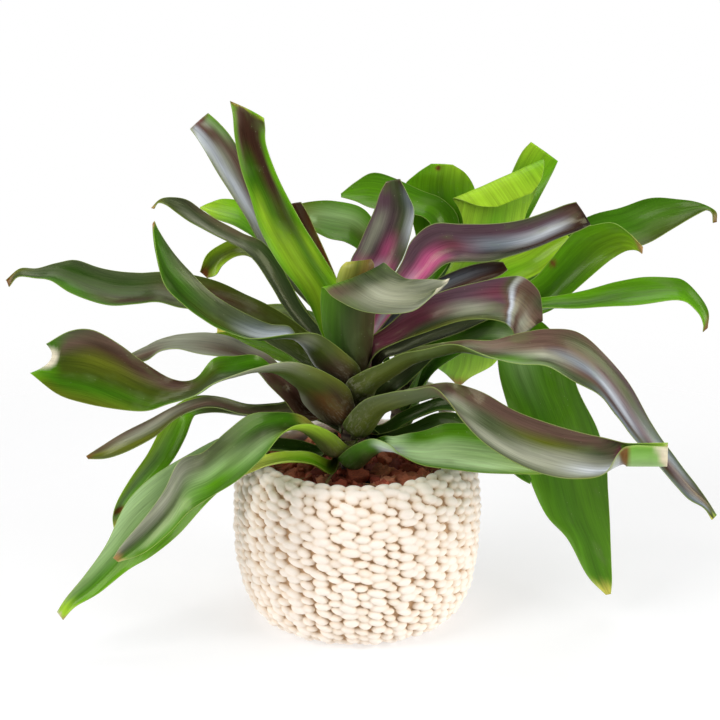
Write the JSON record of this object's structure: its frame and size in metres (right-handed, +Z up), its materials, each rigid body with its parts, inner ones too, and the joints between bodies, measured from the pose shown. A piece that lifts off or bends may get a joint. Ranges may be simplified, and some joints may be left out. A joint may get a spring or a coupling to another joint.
{
  "type": "potted bromeliad",
  "caption": "Bromeliad with arching strap leaves in dark purple and green and a bright green offset behind, in a round woven rope basket with bark mulch.",
  "frame": {"origin": "middle of the basket's foot, on the floor", "axes": "+Z up, -Y towards the side that the picture was taken from, +X to its right"},
  "size_m": [0.5684, 0.3712, 0.4221],
  "materials": {
    "rope": "matt woven cotton",
    "liner": "thin black sheet",
    "growing_mix": "damp, crumbly",
    "bark": "rough reddish-brown chunks",
    "stem": "dull green",
    "dark_leaf": "glossy dark green and purple, silver-blue sheen",
    "green_leaf": "glossy bright green"
  },
  "bodies": {
    "root": {"bark_mulch": "bark", "basket": "rope", "growing_mix": "growing_mix", "handle": "rope", "liner": "liner", "main_leaf_back": "dark_leaf", "main_leaf_back_left": "dark_leaf", "main_leaf_dark_behind": "dark_leaf", "main_leaf_dark_right": "dark_leaf", "main_leaf_front_folded": "dark_leaf", "main_leaf_hooked_tip": "dark_leaf", "main_leaf_left_bright": "dark_leaf", "main_leaf_left_curled": "dark_leaf", "main_leaf_left_green": "dark_leaf", "main_leaf_left_grey": "dark_leaf", "main_leaf_left_hanging": "dark_leaf", "main_leaf_left_long": "dark_leaf", "main_leaf_left_olive": "dark_leaf", "main_leaf_left_wide": "dark_leaf", "main_leaf_low_left_front": "dark_leaf", "main_leaf_low_left_glossy": "dark_leaf", "main_leaf_low_left_small": "dark_leaf", "main_leaf_low_right_dark": "dark_leaf", "main_leaf_low_right_front": "dark_leaf", "main_leaf_purple_behind": "dark_leaf", "main_leaf_purple_upright": "dark_leaf", "main_leaf_right_arch": "dark_leaf", "main_leaf_right_hidden": "dark_leaf", "main_leaf_right_long": "dark_leaf", "main_leaf_right_pink": "dark_leaf", "main_leaf_right_rolled": "dark_leaf", "main_leaf_right_under": "dark_leaf", "main_leaf_short_olive": "dark_leaf", "main_leaf_silver": "dark_leaf", "main_leaf_tall": "dark_leaf", "main_stem": "stem", "offset_leaf_back": "green_leaf", "offset_leaf_back_drooping": "green_leaf", "offset_leaf_left_behind": "green_leaf", "offset_leaf_light_green": "green_leaf", "offset_leaf_lower_right": "green_leaf", "offset_leaf_right_hanging": "green_leaf", "offset_leaf_small_green": "green_leaf", "offset_leaf_top_folded": "green_leaf", "offset_leaf_top_left": "green_leaf", "offset_leaf_top_peak": "green_leaf", "offset_leaf_top_right": "green_leaf", "offset_leaf_upper_folded": "green_leaf", "offset_leaf_upper_right": "green_leaf", "offset_stem": "stem"}
  },
  "joints": []
}
